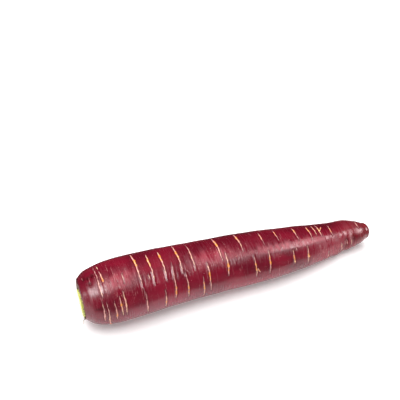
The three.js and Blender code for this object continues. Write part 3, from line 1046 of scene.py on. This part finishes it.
class SkinTones(bpy.types.PropertyGroup):
    """Colours of the skin and its scars."""

    dark: colour_property("Dark", "Darkest patches of the skin", (0.13, 0.004, 0.015))
    middle: colour_property("Middle", "Most of the skin", (0.215, 0.006, 0.022))
    bright: colour_property("Bright", "Brightest patches of the skin", (0.305, 0.012, 0.034))
    # Also a painted highlight, along the band where the overhead panels reflect.
    rubbed_and_highlight: colour_property("Rubbed", "Skin of the scuffed places", (0.35, 0.024, 0.046))
    # Also painted light: a highlight along the panels' band, and the floor's light low on both sides.
    bloom_and_sheen: colour_property("Bloom", "Dusty mauve bloom", (0.42, 0.095, 0.135))
    dot: colour_property("Dots", "Small pale dots of the skin", (0.50, 0.22, 0.20))
    # Painted shade, for pits, creases and the back, where shade falls.
    painted_shade: colour_property("Crease", "Pits, creases and the darkest skin", (0.075, 0.002, 0.007))
    # Painted shade beside the scars' grooves.
    scar_shade: colour_property("Halo", "Skin beside a scar", (0.10, 0.003, 0.010))
    fringe: colour_property("Fringe", "Brown edge of a wide scar", (0.34, 0.09, 0.02))
    tip: colour_property("Tip", "Skin towards the tip", (0.21, 0.024, 0.028))
    brown: colour_property("Brown", "Brown spots near the tip", (0.20, 0.055, 0.022))
    cork: colour_property("Cork", "Corky ring round the stalks", (0.34, 0.20, 0.115))
    cork_dark: colour_property("Dark cork", "Cracks in the corky ring", (0.07, 0.03, 0.028))
    scar_pale: colour_property("Pale scar", "Thin ends of the scars", (0.76, 0.35, 0.34))
    scar_orange: colour_property("Orange scar", "Wide parts of the scars", (0.86, 0.30, 0.045))
    scar_cream: colour_property("Cream scar", "Middle line of the widest scars", (0.96, 0.66, 0.38))


class ScarSettings(bpy.types.PropertyGroup):
    """The corky strips in the scars, and the specks."""

    least_half_width: length_property("Least half width", "Narrower stretches get no strip", 0.11)
    thickness: number_property("Thickness", "Thickness of a strip for its half width", 0.85)
    sides: count_property("Sides", "Sides of a strip's section", 8, 4)
    count: count_property("Specks", "Number of small corky specks", 150, 0)
    seed: count_property("Seed", "Changes where the specks are", 23, 0)


class StalkTones(bpy.types.PropertyGroup):
    """Colours of the cut leaf stalks."""

    young: colour_property("Young", "Palest bases", (0.95, 0.92, 0.34))
    old: colour_property("Old", "Greenest bases", (0.80, 0.83, 0.20))
    pith: colour_property("Pith", "Clouds in the cut tissue", (0.96, 0.94, 0.52))
    rind: colour_property("Rind", "Edge of each base and its fibres", (0.62, 0.60, 0.10))
    worn: colour_property("Worn", "Dried, brown side of the bases", (0.30, 0.16, 0.05))
    strand: colour_property("Strand", "Vascular strands", (0.88, 0.84, 0.55))
    scale_dark: colour_property("Dark scale", "Shaded torn scales", (0.06, 0.035, 0.012))
    scale_light: colour_property("Light scale", "Dry torn scales", (0.36, 0.24, 0.09))


class StageSettings(bpy.types.PropertyGroup):
    """Floor, lights and camera."""

    floor: colour_property("Floor", "Colour of the floor", (0.90, 0.90, 0.90))
    sky: number_property("Sky", "Brightness of the room", 0.1, min=0)
    panels: number_property("Panels", "Share of the overhead panels' full brightness", 1.0, min=0)
    azimuth: angle_property("Azimuth", "Camera's angle round the carrot", -21.2)
    elevation: angle_property("Elevation", "Camera's angle above the floor", 40)
    distance: length_property("Distance", "Camera to the point it looks at", 482.1)
    lens: number_property("Lens", "Focal length in millimetres, for the sensor's width", 63.0)


# The point of the floor in the middle of the picture, in the frame of the tables.
LOOK_AT = (101.7, 73.7, 0)
SENSOR_WIDTH = 36  # of the camera


class CARROT_OT_taproot(bpy.types.Operator):
    """Build the skin of the taproot"""

    bl_idname = "carrot.taproot"
    bl_label = "Taproot"

    def execute(self, context):
        root = context.scene.carrot_root
        obj = build_taproot(root)
        run_tree(obj, ridged_skin_tree(), {
            "Ridge Height": root.ridge_height / MM, "Ridge Spacing": root.ridge_spacing / MM,
            "Lump Height": root.lump_height / MM, "Seed": root.seed,
            "Material": skin_material(context.scene.carrot_skin),
        })
        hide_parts("taproot")
        finish_piece(obj)
        return {"FINISHED"}


class CARROT_OT_scars(bpy.types.Operator):
    """Lay corky strips and specks in the skin"""

    bl_idname = "carrot.scars"
    bl_label = "Growth scars"

    def execute(self, context):
        sizes = context.scene.carrot_scars
        cork = scar_material(context.scene.carrot_skin)
        strips = build_scars(sizes)
        run_tree(strips, scar_tree(), {"Thickness": sizes.thickness, "Sides": sizes.sides, "Material": cork})
        finish_piece(strips)
        specks = build_specks(sizes)
        run_tree(specks, bead_tree(), {"Flatness": 0.55, "Roundness": 2, "Material": cork})
        finish_piece(specks)
        return {"FINISHED"}


class CARROT_OT_stalks(bpy.types.Operator):
    """Build the cut bases of the leaf stalks"""

    bl_idname = "carrot.stalks"
    bl_label = "Leaf stalk bases"

    def execute(self, context):
        tones = context.scene.carrot_stalks
        cut, beads = build_stalks()
        cut.data.materials.append(stalk_material(tones))
        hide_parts("leaf_stalk_bases")
        finish_piece(cut)
        strands = build_strands(beads)
        tissue = plain_tissue_material("strand_tissue", tones.pith, tones.strand, 0.45)
        run_tree(strands, bead_tree(), {"Flatness": 0.4, "Roundness": 2, "Material": tissue})
        finish_piece(strands)
        return {"FINISHED"}


class CARROT_OT_torn_scales(bpy.types.Operator):
    """Set torn scales and a dried fibre round the stalks"""

    bl_idname = "carrot.torn_scales"
    bl_label = "Torn scales"

    def execute(self, context):
        tones = context.scene.carrot_stalks
        dry = plain_tissue_material("dry_scale", tones.scale_dark, tones.scale_light, 0.7)
        scales = build_torn_scales()
        run_tree(scales, torn_scale_tree(), {"Seed": 5, "Material": dry})
        finish_piece(scales)
        fibre = build_crown_fibre()
        run_tree(fibre, scar_tree(), {"Thickness": 1.0, "Sides": 8, "Material": dry})
        finish_piece(fibre)
        return {"FINISHED"}


# Overhead panels: [name, place in millimetres, size in metres, brightness, whether they light matt things,
# whether they show in reflections].
PANELS = [
    ["panel_left", (-900, -222, 570), (0.80, 0.44), 48.0, False, True],
    ["panel_right", (830, -470, 570), (0.78, 0.68), 20.0, False, True],
    ["ceiling", (-150, 400, 1900), (3, 3), 3.7, True, False],
]


def add_panel(name, place_mm, size, brightness, lights_matt, in_reflections):
    """A soft panel overhead that faces straight down."""
    data = bpy.data.lights.new(name, "AREA")
    data.shape = "RECTANGLE"
    data.size, data.size_y = size
    data.energy = brightness * math.pi * size[0] * size[1]
    light = bpy.data.objects.new(name, data)
    light.location = Vector(place_mm) * MM
    light.visible_camera = False
    light.visible_diffuse = lights_matt
    light.visible_glossy = in_reflections
    bpy.context.scene.collection.objects.link(light)


def studio_room(strength):
    """A room that looks white, lights the carrot dimly and hardly shows in its gloss."""
    world = bpy.data.worlds.new("room")
    world.use_nodes = True
    make = Maker(world.node_tree)
    rays = make.add("ShaderNodeLightPath").outputs
    in_gloss, to_camera = Value(make, rays["Is Glossy Ray"]), Value(make, rays["Is Camera Ray"])
    lit = make.out("ShaderNodeMix", {0: in_gloss, 2: strength, 3: ROOM_IN_GLOSS * strength})
    shown = make.out("ShaderNodeMix", {0: to_camera, 2: lit, 3: 1.0})
    make.fill(world.node_tree.nodes["Background"], {"Color": (1, 1, 1, 1), "Strength": shown})
    return world


# Dark cards that lie on the floor and show in reflections only: [name, lowest x and y, highest x and y].
DARK_CARDS = [
    ["dark_card_back", (-3, 0.03), (3, 3)],
    ["dark_card_front", (-3, -3), (3, -0.045)],
    ["dark_card_tip", (0.12, -0.045), (3, 0.03)],
]


def add_dark_card(name, low, high):
    """A dark card that keeps the glare of the floor off the gloss."""
    card = new_sheet(name, low, high, 0.5 * MM)
    material, make = new_material("black_card")
    make.paint({"Base Color": (0.02, 0.01, 0.012, 1), "Roughness": 0.9})
    card.data.materials.append(material)
    card.visible_camera = False
    card.visible_diffuse = False
    card.visible_shadow = False


class CARROT_OT_stage(bpy.types.Operator):
    """Set the floor, the lights and the camera"""

    bl_idname = "carrot.stage"
    bl_label = "Stage"

    def execute(self, context):
        stage = context.scene.carrot_stage
        floor = new_sheet("floor", (-3, -3), (3, 3), 0)
        floor.data.materials.append(floor_material(stage.floor))
        context.scene.world = studio_room(stage.sky)
        for name, place_mm, size, brightness, lights_matt, in_reflections in PANELS:
            add_panel(name, place_mm, size, stage.panels * brightness, lights_matt, in_reflections)
        for card in DARK_CARDS:
            add_dark_card(*card)
        self.add_camera(context, stage)
        context.scene.view_settings.view_transform = "Standard"
        return {"FINISHED"}

    def add_camera(self, context, stage):
        data = bpy.data.cameras.new("camera")
        data.lens = stage.lens
        data.sensor_width = SENSOR_WIDTH
        data.clip_start = 0.01
        camera = bpy.data.objects.new("camera", data)
        azimuth, elevation = stage.azimuth, stage.elevation
        back = Vector((math.sin(azimuth) * math.cos(elevation), -math.cos(azimuth) * math.cos(elevation),
                       math.sin(elevation)))
        target = Vector(to_row(np.array(LOOK_AT, float)))
        camera.location = target + back * stage.distance
        camera.rotation_euler = (-back).to_track_quat("-Z", "Y").to_euler()
        context.scene.collection.objects.link(camera)
        context.scene.camera = camera


OPERATORS = (CARROT_OT_taproot, CARROT_OT_scars, CARROT_OT_stalks, CARROT_OT_torn_scales, CARROT_OT_stage)


class CARROT_PT_panel(bpy.types.Panel):
    """Lists the steps that build the carrot, with their settings"""

    bl_idname = "CARROT_PT_panel"
    bl_label = "Purple Carrot"
    bl_space_type = "VIEW_3D"
    bl_region_type = "UI"
    bl_category = "Carrot"

    def draw(self, context):
        for operator in OPERATORS:
            self.layout.operator(operator.bl_idname)
        for name in SETTINGS:
            group = getattr(context.scene, name)
            box = self.layout.box()
            for prop in group.bl_rna.properties:
                if prop.identifier not in ("name", "rna_type"):
                    box.prop(group, prop.identifier)


SETTINGS = {
    "carrot_root": RootSettings, "carrot_skin": SkinTones, "carrot_scars": ScarSettings,
    "carrot_stalks": StalkTones, "carrot_stage": StageSettings,
}
CLASSES = (*SETTINGS.values(), *OPERATORS, CARROT_PT_panel)


def register():
    for cls in CLASSES:
        bpy.utils.register_class(cls)
    for name, group in SETTINGS.items():
        setattr(bpy.types.Scene, name, PointerProperty(type=group))


def unregister():
    for name in SETTINGS:
        delattr(bpy.types.Scene, name)
    for cls in reversed(CLASSES):
        bpy.utils.unregister_class(cls)


def main():
    register()
    bpy.ops.carrot.stage()
    bpy.ops.carrot.taproot()
    bpy.ops.carrot.scars()
    bpy.ops.carrot.stalks()
    bpy.ops.carrot.torn_scales()


if __name__ == "__main__":
    main()
